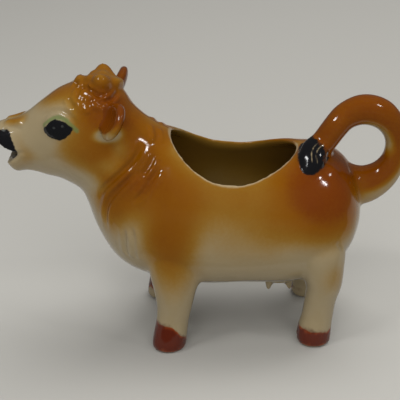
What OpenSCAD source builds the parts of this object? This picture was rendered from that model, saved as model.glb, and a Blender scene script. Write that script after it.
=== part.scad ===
// Cow creamer: a slip-cast cow. Milk goes in through the open back and pours from the mouth;
// the looped tail is the handle. The head points along -X, the cow's left side is -Y, and the
// hooves stand on Z = 0. Lengths are in millimetres.

/* [Barrel] */
// Length from the back of the rump to the middle of the neck joint
barrel_l = 90; // [84:1:98]
// Width of the barrel where it is widest
barrel_w = 56; // [50:1:62]
// Height of the barrel from the belly to the back
barrel_h = 54; // [50:1:58]
// Height of the belly above the table
belly_z = 19.5; // [17:0.5:24]
// Thickness of the cast wall
wall = 2.4; // [1.8:0.1:3]

/* [Filling opening] */
// Distance from the back of the rump to the opening
opening_from_rump = 22.5; // [20:0.5:28]
// Distance from the opening to the middle of the neck joint
opening_from_neck = 21; // [19:0.5:28]
// Width of the shoulder that is left on each side of the opening
opening_from_side = 7.5; // [6:0.5:11]

/* [Head] */
// Length from the middle of the neck joint to the nose
head_l = 41.5; // [38:0.5:46]
// Width of the skull where it is widest
head_w = 30; // [27:0.5:34]
// Height of the skull from the jaw to the poll
head_h = 42; // [39:0.5:46]
// Width of the pouring channel behind the lips
mouth_w = 10; // [7:0.5:11]
// Height of the pouring mouth
mouth_h = 5.2; // [4.4:0.1:6]
// Depth of the gap between the lips
gape_l = 8; // [6:0.5:10]
// Length of an eye along the face
eye_l = 10.4; // [8:0.2:12]
// Diameter of a nostril
nostril_d = 2.4; // [1.4:0.1:3]

/* [Ears and horns] */
// Length of an ear from root to tip
ear_l = 16; // [13:0.5:19]
// Width of an ear across its cup
ear_w = 14; // [11:0.5:16]
// Thickness of an ear before its cup is hollowed
ear_t = 6; // [5:0.2:8]
// Length of a horn, with the part that the head hides
horn_l = 8; // [7:0.2:10]
// Diameter of a horn at its root
horn_d = 7.6; // [6:0.2:9]
// Width of the forelock between the horns
forelock_w = 11; // [8:0.5:13]

/* [Tail handle] */
// Diameter of the finger hole
finger_d = 16.8; // [15:0.2:20]
// Thickness of the tail
tail_d = 10; // [8:0.2:11]
// Length of the tuft at the tail's end
tuft_l = 18; // [14:0.5:22]
// Width of the tuft
tuft_w = 10.5; // [8:0.5:13]

/* [Legs] */
// How far the middles of the front hooves stand in from the barrel's sides
front_inset = 8.75; // [7:0.25:12]
// How far the middles of the rear hooves stand in from the barrel's sides
rear_inset = 10.25; // [8:0.25:13]
// Length of a hoof along the body
hoof_l = 13; // [11:0.5:15]
// Width of a hoof
hoof_w = 12.4; // [10:0.2:14]
// How far the right forefoot stands ahead of the left one
step_l = 4; // [0:0.5:7]
// Width of the cleft in a hoof
cleft_w = 1.2; // [0.6:0.1:1.8]

/* [Udder] */
// Length of the udder along the body
udder_l = 18; // [13:0.5:20]
// Width of the udder
udder_w = 20; // [15:0.5:24]
// How far the udder hangs below the belly
udder_drop = 2.6; // [2:0.2:5]
// Diameter of a teat
teat_d = 3; // [2:0.1:4]

/* [Surface] */
// Points round the barrel and the head
ring_points = 32; // [24:4:40]
// Rings between two stations of the casting
ring_steps = 2; // [2:1:3]

/* [Hidden] */

// Overrun of every cut past the face that it opens
cut = 1;
// Glaze colours
cream = [0.86, 0.79, 0.66];
tan_orange = [0.84, 0.53, 0.22];
deep_orange = [0.72, 0.36, 0.1];
ink = [0.06, 0.06, 0.07];

// Stations of the barrel from the rump to the neck joint:
// place along barrel_l, height in barrel_h above the belly, half-width in barrel_w / 2,
// rise and fall in barrel_h, lean of the section in degrees, and how much wider its top is than its middle
barrel_shares = [
    [0.004, 0.570, 0.25, 0.120, 0.100, -4, 0],
    [0.022, 0.560, 0.48, 0.230, 0.185, -4, 0],
    [0.063, 0.540, 0.71, 0.340, 0.305, -3, 0],
    [0.145, 0.515, 0.87, 0.447, 0.432, -2, -0.02],
    [0.280, 0.500, 0.97, 0.482, 0.488, 0, -0.03],
    [0.490, 0.500, 1.00, 0.520, 0.482, 0, -0.03],
    [0.645, 0.510, 0.99, 0.556, 0.493, 3, -0.03],
    [0.778, 0.565, 0.93, 0.546, 0.505, 12, -0.05],
    [0.884, 0.657, 0.79, 0.500, 0.498, 21, -0.08],
    [0.950, 0.815, 0.65, 0.417, 0.452, 27, -0.06],
    [1.006, 0.972, 0.54, 0.363, 0.368, 30, 0]
];
// Stations of the head from the neck joint to the nose, counted from the middle of that joint:
// place along head_l, height in head_h, half-width in head_w / 2, rise and fall in head_h, lean, and widening
head_shares = [
    [0.075, 0.112, 1.000, 0.495, 0.480, 26, 0.02],
    [0.180, 0.195, 1.000, 0.500, 0.500, 20, 0.06],
    [0.338, 0.210, 0.920, 0.447, 0.447, 15, 0.12],
    [0.480, 0.190, 0.800, 0.395, 0.395, 11, 0.14],
    [0.605, 0.160, 0.690, 0.324, 0.324, 9, 0.10],
    [0.738, 0.117, 0.630, 0.247, 0.257, 4, 0],
    [0.835, 0.090, 0.630, 0.232, 0.245, -6, -0.04],
    [0.895, 0.094, 0.590, 0.210, 0.230, -15, -0.04],
    [0.935, 0.105, 0.480, 0.168, 0.207, -22, 0],
    [0.958, 0.112, 0.300, 0.105, 0.155, -24, 0]
];

// Middle of the finger hole: behind the rump in finger_d, and above the belly in barrel_h
loop_x_share = 0.02;
loop_z_share = 0.955;
// Stations of the tail round the finger hole: direction from the hole's middle in degrees,
// 0 to the rear and 90 up, radius in tail_d / 2 and shift to the left in barrel_w
tail_shares = [[-122, 1.3, 0], [-92, 1.45, 0], [-62, 1.2, 0], [-32, 0.95, 0], [0, 0.78, 0], [30, 0.92, 0],
    [60, 1.08, 0], [88, 1.1, 0], [115, 1.0, 0.015], [138, 0.94, 0.05]];
tail_rear_row = 4;

// The back of the rump, so that the finished creamer is centred on the origin
nose_reach_share = 1.004;
head_reach = barrel_shares[len(barrel_shares) - 1][0] * barrel_l + nose_reach_share * head_l;
tail_reach = (loop_x_share + 1 / 2) * finger_d + tail_shares[tail_rear_row][1] * tail_d;
rump_x = (head_reach - tail_reach) / 2;

function sized(shares, x, z, l, w, h) = [for (s = shares)
    [x - s[0] * l, z + s[1] * h, s[2] * w / 2, s[3] * h, s[4] * h, s[5], s[6]]];
barrel_stations = sized(barrel_shares, rump_x, belly_z, barrel_l, barrel_w, barrel_h);
neck_joint = barrel_stations[len(barrel_stations) - 1];
head_stations = sized(head_shares, neck_joint[0], neck_joint[1], head_l, head_w, head_h);
stations = concat(barrel_stations, head_stations);

// Rows of the stations: the neck joint, the nose, the end of the cavity, and as far as the
// rear and the head pieces are trimmed by the casting
neck_row = len(barrel_stations) - 1;
end_row = len(stations) - 1;
cavity_end_row = end_row - 3;
rear_trim_row = 5;
head_trim_row = neck_row - 2;
// Steps in rows and in degrees over which the casting's slope is taken
slope_rows = 0.25;
normal_rows = 0.01;
normal_turn = 1;

// A smooth curve through the rows of a table, at place t counted in rows
function along(rows, t) =
    let (last = len(rows) - 1, i = min(floor(t), last - 1), u = t - i,
        a = rows[max(i - 1, 0)], b = rows[i], c = rows[i + 1], d = rows[min(i + 2, last)])
    ((2 * b) + (c - a) * u + (2 * a - 5 * b + 4 * c - d) * u * u + (3 * b - a - 3 * c + d) * u * u * u) / 2;
function mean(points) = [for (p = points) 1] * points / len(points);
function unit(v) = v / norm(v);

// One section of the casting: an oval whose top and bottom halves have their own heights
function section_point(s, angle) =
    let (up = sin(angle), b = (up > 0 ? s[3] : s[4]) * up)
    [s[0] + b * sin(s[5]), s[2] * cos(angle) * (1 + s[6] * up), s[1] + b * cos(s[5])];
function section_ring(s) = [for (i = [0 : ring_points - 1]) section_point(s, 360 * i / ring_points)];

// A place on the casting's outside: t in rows of the stations, angle 0 on the right side,
// 90 on top, 180 on the left
function skin_point(t, angle) = section_point(along(stations, t), angle);
function skin_normal(t, angle) =
    let (du = skin_point(t + normal_rows, angle) - skin_point(t - normal_rows, angle),
        dv = skin_point(t, angle + normal_turn) - skin_point(t, angle - normal_turn))
    unit(cross(du, dv));
function off_skin(t, angle, out) = skin_point(t, angle) + out * skin_normal(t, angle);

// The section at t, moved in by the wall square to the surface
function mean_radius(s) = (s[2] + (s[3] + s[4]) / 2) / 2;
function inner_station(t) =
    let (a = along(stations, max(t - slope_rows, 0)), b = along(stations, t + slope_rows),
        s = along(stations, t),
        run = norm([b[0] - a[0], b[1] - a[1]]), slope = atan2(mean_radius(b) - mean_radius(a), run),
        shift = wall * sin(slope) / run, inset = wall * cos(slope))
    [s[0] + (b[0] - a[0]) * shift, s[1] + (b[1] - a[1]) * shift, s[2] - inset, s[3] - inset, s[4] - inset,
        s[5], s[6]];

// A closed solid through a list of rings that all have the same number of points and may run either way round
module skin(rings) {
    n = len(rings[0]);
    m = len(rings);
    first = m * n;
    last = first + 1;
    facing = cross(rings[0][1] - rings[0][0], rings[0][2] - rings[0][1]) * (mean(rings[1]) - mean(rings[0]));
    sides = [for (j = [0 : m - 2], i = [0 : n - 1])
        let (a = j * n + i, b = j * n + (i + 1) % n, c = a + n, d = b + n)
        each [[a, b, d], [a, d, c]]];
    caps = [for (i = [0 : n - 1])
        let (k = (i + 1) % n)
        each [[first, k, i], [last, (m - 1) * n + i, (m - 1) * n + k]]];
    polyhedron(points = concat([for (r = rings) each r], [mean(rings[0]), mean(rings[m - 1])]),
        faces = [for (f = concat(sides, caps)) facing > 0 ? [f[2], f[1], f[0]] : f]);
}

// The same solid as a chain of convex links, for forms that bend or are trimmed
module chain(rings) {
    for (j = [0 : len(rings) - 2])
        hull()
            skin([rings[j], rings[j + 1]]);
}

function oval_ring(centre, across, over, points) = [for (i = [0 : points - 1])
    centre + across * cos(360 * i / points) + over * sin(360 * i / points)];

// Rings of an egg with three half-axes, stacked along Z
egg_layers = 7;
round_points = 16;
dot_points = 12;
function egg_rings(half, rings = egg_layers, points = round_points) = [for (j = [0 : rings - 1])
    let (lat = 180 * (j + 0.5) / rings - 90)
    oval_ring([0, 0, half[2] * sin(lat)], [half[0] * cos(lat), 0, 0], [0, half[1] * cos(lat), 0], points)];

// Rings of a tube along a path that never runs straight sideways, each row a point and a radius
function tube_rings(rows, points) = [for (i = [0 : len(rows) - 1])
    let (a = rows[max(i - 1, 0)], b = rows[min(i + 1, len(rows) - 1)], r = rows[i][3],
        ahead = unit([b[0] - a[0], b[1] - a[1], b[2] - a[2]]), out = unit(cross(ahead, [0, 1, 0])))
    oval_ring([rows[i][0], rows[i][1], rows[i][2]], out * r, cross(ahead, out) * r, points)];

module mirrored() {
    children();
    mirror([0, 1, 0])
        children();
}

module casting_solid(from, to) {
    skin([for (k = [from * ring_steps : to * ring_steps]) section_ring(along(stations, k / ring_steps))]);
}

// The cavity has no ring at the neck joint, so that its sides pass straight through the joint's face
module casting_cavity() {
    skin([for (k = [0 : cavity_end_row * ring_steps])
        if (k != neck_row * ring_steps) section_ring(inner_station(k / ring_steps))]);
}

// legs

// Stations of a leg from the ground up into the barrel: height in belly_z, shift outward in hoof_w,
// shift forward in hoof_l, half-length in hoof_l / 2 and half-width in hoof_w / 2
foreleg_shares = [
    [0.00, 0.00, 0.01, 0.94, 0.92],
    [0.12, 0.00, 0.01, 1.01, 1.00],
    [0.36, 0.00, -0.06, 0.98, 0.94],
    [0.60, -0.02, -0.13, 0.95, 0.88],
    [0.82, -0.02, -0.19, 1.00, 0.92],
    [1.00, -0.02, -0.22, 1.07, 0.98],
    [1.25, -0.03, -0.25, 1.22, 1.06],
    [1.60, -0.06, -0.30, 1.50, 1.14],
    [2.00, -0.11, -0.33, 1.60, 1.16],
    [2.40, -0.22, -0.33, 1.40, 1.04]
];
hindleg_shares = [
    [0.00, 0.00, 0.00, 0.93, 0.92],
    [0.12, 0.00, 0.02, 1.00, 1.00],
    [0.36, 0.00, -0.02, 0.97, 0.94],
    [0.60, -0.02, -0.10, 0.91, 0.86],
    [0.82, -0.02, -0.15, 0.91, 0.88],
    [1.00, 0.00, -0.20, 0.94, 0.94],
    [1.25, 0.02, -0.27, 1.02, 1.06],
    [1.60, 0.02, -0.22, 1.22, 1.18],
    [2.00, -0.01, -0.12, 1.48, 1.24],
    [2.40, -0.16, 0.02, 1.46, 1.10]
];
leg_joint_row = 5;
leg_points = 20;
// Middle of each hoof, from the rump in barrel_l
foreleg_share = 0.797;
hindleg_share = 0.197;
foreleg_x = rump_x - foreleg_share * barrel_l;
hindleg_x = rump_x - hindleg_share * barrel_l;
// Stations and places of the left front, right front, left rear and right rear legs
front_stance_w = barrel_w - 2 * front_inset;
rear_stance_w = barrel_w - 2 * rear_inset;
legs = [
    [foreleg_shares, foreleg_x, -front_stance_w / 2],
    [foreleg_shares, foreleg_x - step_l, front_stance_w / 2],
    [hindleg_shares, hindleg_x, -rear_stance_w / 2],
    [hindleg_shares, hindleg_x, rear_stance_w / 2]
];

function leg_rings(leg, from, to) = [for (i = [from : to])
    let (s = leg[0][i])
    oval_ring([leg[1] - s[2] * hoof_l, leg[2] + sign(leg[2]) * s[1] * hoof_w, s[0] * belly_z],
        [s[3] * hoof_l / 2, 0, 0], [0, s[4] * hoof_w / 2, 0], leg_points)];

// The cleft between the two claws is a wedge cut in from the toe
cleft_h_share = 0.5;
cleft_l_share = 0.35;
module leg(i) {
    toe_x = legs[i][1] - hoof_l / 2;
    cleft_l = cleft_l_share * hoof_l;
    color(cream)
        difference() {
            skin(leg_rings(legs[i], 0, leg_joint_row));
            translate([toe_x + cleft_l, legs[i][2], -cut])
                linear_extrude(height = cut + cleft_h_share * hoof_l)
                    polygon([[0, 0], [-cleft_l - cut, cleft_w / 2], [-cleft_l - cut, -cleft_w / 2]]);
        }
}

// body

// Outline of the filling opening: an oval that is narrower toward the rump
opening_points = 48;
opening_taper_share = 0.1;
opening_l = barrel_l - opening_from_rump - opening_from_neck;
opening_w = barrel_w - 2 * opening_from_side;
opening_x = rump_x - opening_from_rump - opening_l / 2;
opening_outline = [for (i = [0 : opening_points - 1])
    let (c = cos(360 * i / opening_points), s = sin(360 * i / opening_points))
    [c * opening_l / 2, s * (1 - opening_taper_share * c) * opening_w / 2]];

module filling_cut() {
    translate([opening_x, 0, belly_z + barrel_h / 2])
        linear_extrude(height = barrel_h)
            polygon(opening_outline);
}

module body_shell() {
    color(tan_orange)
        difference() {
            union() {
                casting_solid(0, neck_row);
                for (leg = legs)
                    chain(leg_rings(leg, leg_joint_row, len(leg[0]) - 1));
            }
            casting_cavity();
            filling_cut();
        }
}

// head

// An eye: its place on the casting, and its height and thickness in eye_l
eye_row = 13.62;
eye_angle = 159;
eye_h_share = 0.7;
eye_t_share = 0.34;
// The lid over an eye is an arch of rows and degrees, its thickness and how deep it is sunk in eye_l
lid_rows = 0.85;
lid_rise = 17;
lid_d_share = 0.24;
lid_sink_share = 0.05;
lid_links = 5;
lid_points = 10;
// The forelock: its first and last rows on the forehead, how many rings it has and how high
// it stands in forelock_w
forelock_rows = [12.7, 11.2];
forelock_rings = 6;
forelock_h_share = 0.3;
forelock_end_share = 0.15;
nostril_row = 18.3;
nostril_angle = 150;
// Height of the mouth line, in head_h above the middle of the neck joint, and height of its corner in mouth_h
mouth_line_share = 0.045;
gape_corner_share = 0.34;
mouth_points = 20;

nose_x = neck_joint[0] - head_l;
mouth_z = neck_joint[1] + mouth_line_share * head_h;

module left_eye() {
    normal = skin_normal(eye_row, eye_angle);
    translate(skin_point(eye_row, eye_angle))
        rotate([0, acos(normal[2]), atan2(normal[1], normal[0])])
            skin(egg_rings([eye_h_share, 1, eye_t_share] * eye_l / 2));
    for (i = [0 : lid_links - 1])
        hull()
            for (k = [i, i + 1])
                let (turn = 180 * k / lid_links)
                translate(off_skin(eye_row - lid_rows * cos(turn), eye_angle - lid_rise * sin(turn),
                    -lid_sink_share * eye_l))
                    sphere(d = eye_l * lid_d_share, $fn = lid_points);
}

module forelock() {
    skin([for (i = [0 : forelock_rings])
        let (u = i / forelock_rings, t = forelock_rows[0] + u * (forelock_rows[1] - forelock_rows[0]),
            swell = forelock_end_share + (1 - forelock_end_share) * sin(180 * u))
        oval_ring(skin_point(t, 90), [0, swell * forelock_w / 2, 0],
            [0, 0, swell * forelock_h_share * forelock_w], round_points)]);
}

// The gap between the lips, cut across the whole muzzle
module gape() {
    hull()
        for (lip = [[nose_x - cut, mouth_h], [nose_x + gape_l, gape_corner_share * mouth_h]])
            translate([lip[0], 0, mouth_z])
                rotate([90, 0, 0])
                    cylinder(h = head_w, d = lip[1], center = true, $fn = mouth_points);
}

module pouring_channel() {
    from_x = inner_station(cavity_end_row)[0] + cut;
    to_x = nose_x - cut;
    chain([for (x = [from_x, (from_x + to_x) / 2, to_x])
        oval_ring([x, 0, mouth_z], [0, mouth_w / 2, 0], [0, 0, mouth_h / 2], mouth_points)]);
}

module head_shell() {
    color(tan_orange)
        difference() {
            union() {
                casting_solid(neck_row, end_row);
                mirrored() left_eye();
                difference() {
                    forelock();
                    mirrored() horn_form();
                }
            }
            casting_cavity();
            gape();
            pouring_channel();
            mirrored()
                translate(skin_point(nostril_row, nostril_angle))
                    sphere(d = nostril_d, $fn = dot_points);
        }
}

// ears and horns

// Where an ear leaves the head: row, angle, and how deep its root is sunk, in ear_l
ear_row = 11.2;
ear_angle = 133;
ear_sink_share = 0.14;
// Turns of the left and the right ear: outward from straight back, drop of its tip, and roll of its cup
ear_turns = [[-74, 4, 58], [-83, -8, 58]];
// Stations of an ear: place along ear_l, half-width in ear_w / 2, half-thickness in ear_t / 2
ear_shares = [[0, 0.5, 0.8], [0.15, 0.66, 0.95], [0.3, 0.86, 1], [0.45, 0.98, 1], [0.6, 1, 0.95],
    [0.72, 0.94, 0.85], [0.83, 0.8, 0.7], [0.92, 0.58, 0.5], [0.98, 0.3, 0.26]];
ear_points = 18;
// The cup: its middle along ear_l, its length and width in the ear's, and its depth in ear_t
cup_shares = [0.56, 0.8, 0.8, 0.62];

module ear(turn) {
    color(deep_orange)
        difference() {
            translate(off_skin(ear_row, ear_angle, -ear_sink_share * ear_l))
                rotate([0, 0, turn[0]])
                    rotate([0, turn[1], 0])
                        rotate([turn[2], 0, 0])
                            difference() {
                                chain([for (s = ear_shares)
                                    oval_ring([s[0] * ear_l, 0, 0], [0, s[1] * ear_w / 2, 0],
                                        [0, 0, s[2] * ear_t / 2], ear_points)]);
                                translate([cup_shares[0] * ear_l, 0, ear_t / 2])
                                    skin(egg_rings([cup_shares[1] * ear_l / 2, cup_shares[2] * ear_w / 2,
                                        cup_shares[3] * ear_t], points = ear_points));
                            }
            casting_solid(head_trim_row, end_row);
        }
}

// Where a horn leaves the head: row, angle, and how deep its root is sunk, in horn_l
horn_row = 11.75;
horn_trim_row = 14;
horn_angle = 99;
horn_sink_share = 0.36;
// Turn of a horn: outward from straight back, and drop of its root
horn_turn = [-105, -34];
// How far a horn curls up, and its radius in horn_d / 2 from root to tip
horn_bend = 50;
horn_shares = [1, 1, 1, 0.99, 0.96, 0.91, 0.83, 0.7, 0.46];

module horn_form() {
    last = len(horn_shares) - 1;
    bend_r = horn_l * 180 / (PI * horn_bend);
    translate(off_skin(horn_row, horn_angle, -horn_sink_share * horn_l))
        rotate([0, horn_turn[1], horn_turn[0]])
            skin(tube_rings([for (i = [0 : last])
                let (turn = horn_bend * i / last)
                [bend_r * sin(turn), 0, bend_r * (1 - cos(turn)), horn_shares[i] * horn_d / 2]],
                round_points));
}

module left_horn() {
    color(deep_orange)
        difference() {
            horn_form();
            casting_solid(neck_row, horn_trim_row);
        }
}

// tail

// Where the tail comes down on the back: row, angle and thickness in tail_d
tail_end_row = 3.2;
tail_end_angle = 100;
tail_end_d_share = 0.92;
tail_steps = 3;
tail_points = 18;
// The last stretch of the tail, which the tuft is fitted to
tail_tip_row = 8;
// The tuft's place on the near hip: row and angle where it starts, rows that it runs forward,
// and how steeply it lies
tuft_row = 3.26;
tuft_angle = 96;
tuft_run = 0.38;
tuft_fall_share = 0.85;
tuft_step_share = 0.05;
// Stations of the tuft: place along tuft_l, half-width and half-thickness in tuft_w, height of
// its middle in tail_d
tuft_shares = [[0, 0.28, 0.24, 0.26], [0.12, 0.37, 0.29, 0.26], [0.26, 0.45, 0.32, 0.22],
    [0.4, 0.49, 0.32, 0.17], [0.54, 0.48, 0.29, 0.12], [0.68, 0.42, 0.25, 0.08],
    [0.8, 0.33, 0.20, 0.04], [0.91, 0.21, 0.15, 0.02], [1, 0.07, 0.08, 0.01]];

function tuft_point(u, out) = off_skin(tuft_row + u * tuft_run,
    tuft_angle + u * tuft_fall_share * tuft_l / barrel_h * 360 / PI, out);
loop_middle = [rump_x + loop_x_share * finger_d, 0, belly_z + loop_z_share * barrel_h];
tail_stations = concat(
    [for (s = tail_shares)
        let (out = finger_d / 2 + s[1] * tail_d / 2)
        [loop_middle[0] + out * cos(s[0]), -s[2] * barrel_w, loop_middle[2] + out * sin(s[0]),
            s[1] * tail_d / 2]],
    [[each skin_point(tail_end_row, tail_end_angle), tail_end_d_share * tail_d / 2]]);

tail_rings = tube_rings(
    [for (k = [0 : (len(tail_stations) - 1) * tail_steps]) along(tail_stations, k / tail_steps)],
    tail_points);

module tail_handle() {
    color(deep_orange)
        difference() {
            skin(tail_rings);
            casting_solid(0, rear_trim_row);
        }
}

module tail_tuft() {
    color(ink)
        difference() {
            skin([for (s = tuft_shares)
                let (normal = skin_normal(tuft_row + s[0] * tuft_run, tuft_angle),
                    ahead = unit(tuft_point(s[0] + tuft_step_share, 0)
                        - tuft_point(s[0] - tuft_step_share, 0)))
                oval_ring(tuft_point(s[0], s[3] * tail_d), unit(cross(ahead, normal)) * s[1] * tuft_w,
                    normal * s[2] * tuft_w, tail_points)]);
            casting_solid(0, rear_trim_row);
            skin([for (k = [tail_tip_row * tail_steps : len(tail_rings) - 1]) tail_rings[k]]);
        }
}

// udder

// Middle of the udder from the rump in barrel_l, its height in barrel_h, and the teats' places and length
udder_share = 0.33;
udder_h_share = 0.2;
teat_place_shares = [[-0.24, -0.23], [-0.24, 0.23], [0.2, -0.23], [0.2, 0.23]];
teat_l_share = 1.1;
teat_taper_share = 0.2;

module udder() {
    udder_h = udder_h_share * barrel_h;
    color(cream)
        difference() {
            translate([rump_x - udder_share * barrel_l, 0, belly_z - udder_drop + udder_h / 2]) {
                skin(egg_rings([udder_l, udder_w, udder_h] / 2));
                for (place = teat_place_shares)
                    translate([place[0] * udder_l, place[1] * udder_w, -udder_h / 2])
                        hull()
                            for (k = [0, 1])
                                translate([0, 0, teat_d * (k - 0.5) * teat_l_share])
                                    sphere(d = teat_d * (1 - teat_taper_share * (1 - k)), $fn = dot_points);
            }
            casting_solid(0, rear_trim_row);
        }
}

body_shell();
head_shell();
ear(ear_turns[0]);  // left_ear
mirror([0, 1, 0]) ear(ear_turns[1]);  // right_ear
left_horn();
mirror([0, 1, 0]) left_horn();  // right_horn
tail_handle();
tail_tuft();
udder();
leg(0);  // front_left_leg
leg(1);  // front_right_leg
leg(2);  // rear_left_leg
leg(3);  // rear_right_leg
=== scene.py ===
# Cow creamer: a slip-cast, airbrushed and glazed cow. Milk goes in at the back and pours from the mouth.
import math
import bpy
import numpy as np
from mathutils import Matrix, Vector
from mathutils.bvhtree import BVHTree


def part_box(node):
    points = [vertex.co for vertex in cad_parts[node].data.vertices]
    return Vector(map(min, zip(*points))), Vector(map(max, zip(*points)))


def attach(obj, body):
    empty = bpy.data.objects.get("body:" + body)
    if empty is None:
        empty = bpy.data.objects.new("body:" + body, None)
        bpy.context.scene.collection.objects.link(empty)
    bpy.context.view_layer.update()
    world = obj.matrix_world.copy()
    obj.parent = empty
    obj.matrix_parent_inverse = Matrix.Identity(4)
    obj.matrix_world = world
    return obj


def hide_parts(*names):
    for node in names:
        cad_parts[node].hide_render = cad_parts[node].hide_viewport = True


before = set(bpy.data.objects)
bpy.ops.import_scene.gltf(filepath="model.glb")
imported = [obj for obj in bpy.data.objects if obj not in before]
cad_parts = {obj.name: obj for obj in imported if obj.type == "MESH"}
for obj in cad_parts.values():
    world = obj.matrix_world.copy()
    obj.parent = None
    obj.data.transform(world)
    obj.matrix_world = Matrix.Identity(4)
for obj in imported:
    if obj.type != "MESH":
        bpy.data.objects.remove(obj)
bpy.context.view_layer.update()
print("frame loaded")

mm = 0.001  # every dictionary gives lengths in millimetres, the meshes are in metres
far = 1e6  # further off than anything here
touching = 0.001  # points nearer than this are one
sideways = Vector((0, 1, 0))


# helpers

def pickOnly(*things):
    if bpy.context.object and bpy.context.object.mode != "OBJECT":
        bpy.ops.object.mode_set(mode="OBJECT")
    bpy.ops.object.select_all(action="DESELECT")
    for thing in things:
        thing.select_set(True)
    bpy.context.view_layer.objects.active = things[0]


def finishWith(thing, kind, **settings):
    pickOnly(thing)
    modifier = thing.modifiers.new("step", kind)
    for key, value in settings.items():
        setattr(modifier, key, value)
    bpy.ops.object.modifier_apply(modifier=modifier.name)


def editAll():
    bpy.ops.object.mode_set(mode="EDIT")
    bpy.ops.mesh.select_all(action="SELECT")


def joinForms(name, forms):
    pickOnly(*forms)
    bpy.ops.object.join()
    bpy.context.object.name = name
    return bpy.context.object


def settle(name):
    form = bpy.context.object
    form.name = name
    bpy.ops.object.transform_apply(location=True, rotation=True, scale=True)
    return form


def deleteForms(*forms):
    pickOnly(*forms)
    bpy.ops.object.delete()


def makeOval(name, middle, halves, mesh, turn=Matrix.Identity(3)):
    # a ball stretched to its half-lengths
    bpy.ops.mesh.primitive_uv_sphere_add(segments=mesh[0], ring_count=mesh[1], radius=1,
                                         location=Vector(middle) * mm, rotation=turn.to_euler())
    bpy.context.object.scale = Vector(halves) * mm
    return settle(name)


def rolledForm(name, place, around, along):
    # a grid rolled into a closed tube: place gives a point from the shares round the tube and along it
    bpy.ops.object.select_all(action="DESELECT")
    bpy.ops.mesh.primitive_grid_add(x_subdivisions=around, y_subdivisions=along, size=2)
    form = bpy.context.object
    form.name = name
    for vertex in form.data.vertices:
        vertex.co = Vector(place((vertex.co.x + 1) / 2, (vertex.co.y + 1) / 2)) * mm
    editAll()
    bpy.ops.mesh.remove_doubles(threshold=touching * mm)
    bpy.ops.mesh.fill_holes(sides=0)
    bpy.ops.mesh.select_all(action="SELECT")
    bpy.ops.mesh.normals_make_consistent(inside=False)
    bpy.ops.object.mode_set(mode="OBJECT")
    return form


def curveThrough(rows, t):
    # a smooth curve through the rows of a table, t counted in rows
    last = len(rows) - 1
    i = min(int(t), last - 1)
    u = t - i
    a, b, c, d = (np.array(rows[min(max(k, 0), last)], float) for k in (i - 1, i, i + 1, i + 2))
    cubic = (3 * b - a - 3 * c + d) * u ** 3
    return ((2 * b + (c - a) * u + (2 * a - 5 * b + 4 * c - d) * u ** 2 + cubic) / 2).tolist()


# the cast shell from rump to nose

casting = {
    "rumpX": 57.8, "bellyZ": 19.5, "length": 90, "width": 56, "height": 54, "wall": 2.4,
    # place along the length, height, half-width, rise, fall, lean in degrees, spread of the top
    "barrel": [
        (0.004, 0.570, 0.25, 0.120, 0.100, -4, 0),
        (0.022, 0.560, 0.48, 0.230, 0.185, -4, 0),
        (0.063, 0.540, 0.71, 0.340, 0.305, -3, 0),
        (0.145, 0.515, 0.87, 0.447, 0.432, -2, -0.02),
        (0.280, 0.500, 0.97, 0.482, 0.488, 0, -0.03),
        (0.490, 0.500, 1.00, 0.520, 0.482, 0, -0.03),
        (0.645, 0.510, 0.99, 0.556, 0.493, 3, -0.03),
        (0.778, 0.565, 0.93, 0.546, 0.505, 12, -0.05),
        (0.884, 0.657, 0.79, 0.500, 0.498, 21, -0.08),
        (0.950, 0.815, 0.65, 0.417, 0.452, 27, -0.06),
        (1.006, 0.972, 0.54, 0.363, 0.368, 30, 0),
    ],
    "headLength": 41.5, "headWidth": 30, "headHeight": 42,
    "head": [
        (0.075, 0.112, 1.000, 0.495, 0.480, 26, 0.02),
        (0.180, 0.195, 1.000, 0.500, 0.500, 20, 0.06),
        (0.338, 0.210, 0.920, 0.447, 0.447, 15, 0.12),
        (0.480, 0.190, 0.800, 0.395, 0.395, 11, 0.14),
        (0.605, 0.160, 0.690, 0.324, 0.324, 9, 0.10),
        (0.738, 0.117, 0.630, 0.247, 0.257, 4, 0),
        (0.835, 0.090, 0.630, 0.232, 0.245, -6, -0.04),
        (0.895, 0.094, 0.590, 0.210, 0.230, -15, -0.04),
        (0.935, 0.105, 0.480, 0.168, 0.207, -22, 0),
        (0.958, 0.112, 0.300, 0.105, 0.155, -24, 0),
    ],
    "cavityRows": 17, "shellMesh": (72, 120), "cavityMesh": (64, 90),
    # the steps over which the slope of the skin is measured, in rows and in degrees
    "rowStep": 0.01, "turnStep": 1, "wallStep": 0.25,
}


def sizedRows(rows, x, z, length, width, height):
    return [(x - p * length, z + h * height, w * width / 2, rise * height, fall * height, lean, spread)
            for p, h, w, rise, fall, lean, spread in rows]


barrelRows = sizedRows(casting["barrel"], casting["rumpX"], casting["bellyZ"],
                       casting["length"], casting["width"], casting["height"])
neckX, neckZ, neckLean = barrelRows[-1][0], barrelRows[-1][1], barrelRows[-1][5]
castRows = barrelRows + sizedRows(casting["head"], neckX, neckZ,
                                  casting["headLength"], casting["headWidth"], casting["headHeight"])


def sectionPoint(row, turn):
    x, z, halfWidth, rise, fall, lean, spread = row
    up = math.sin(turn)
    b = (rise if up > 0 else fall) * up
    tilt = math.radians(lean)
    return (x + b * math.sin(tilt), halfWidth * math.cos(turn) * (1 + spread * up), z + b * math.cos(tilt))


def skinPoint(t, degrees):
    return Vector(sectionPoint(curveThrough(castRows, t), math.radians(degrees)))


def skinNormal(t, degrees):
    row, turn = casting["rowStep"], casting["turnStep"]
    along = skinPoint(t + row, degrees) - skinPoint(t - row, degrees)
    about = skinPoint(t, degrees + turn) - skinPoint(t, degrees - turn)
    return along.cross(about).normalized()


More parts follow.
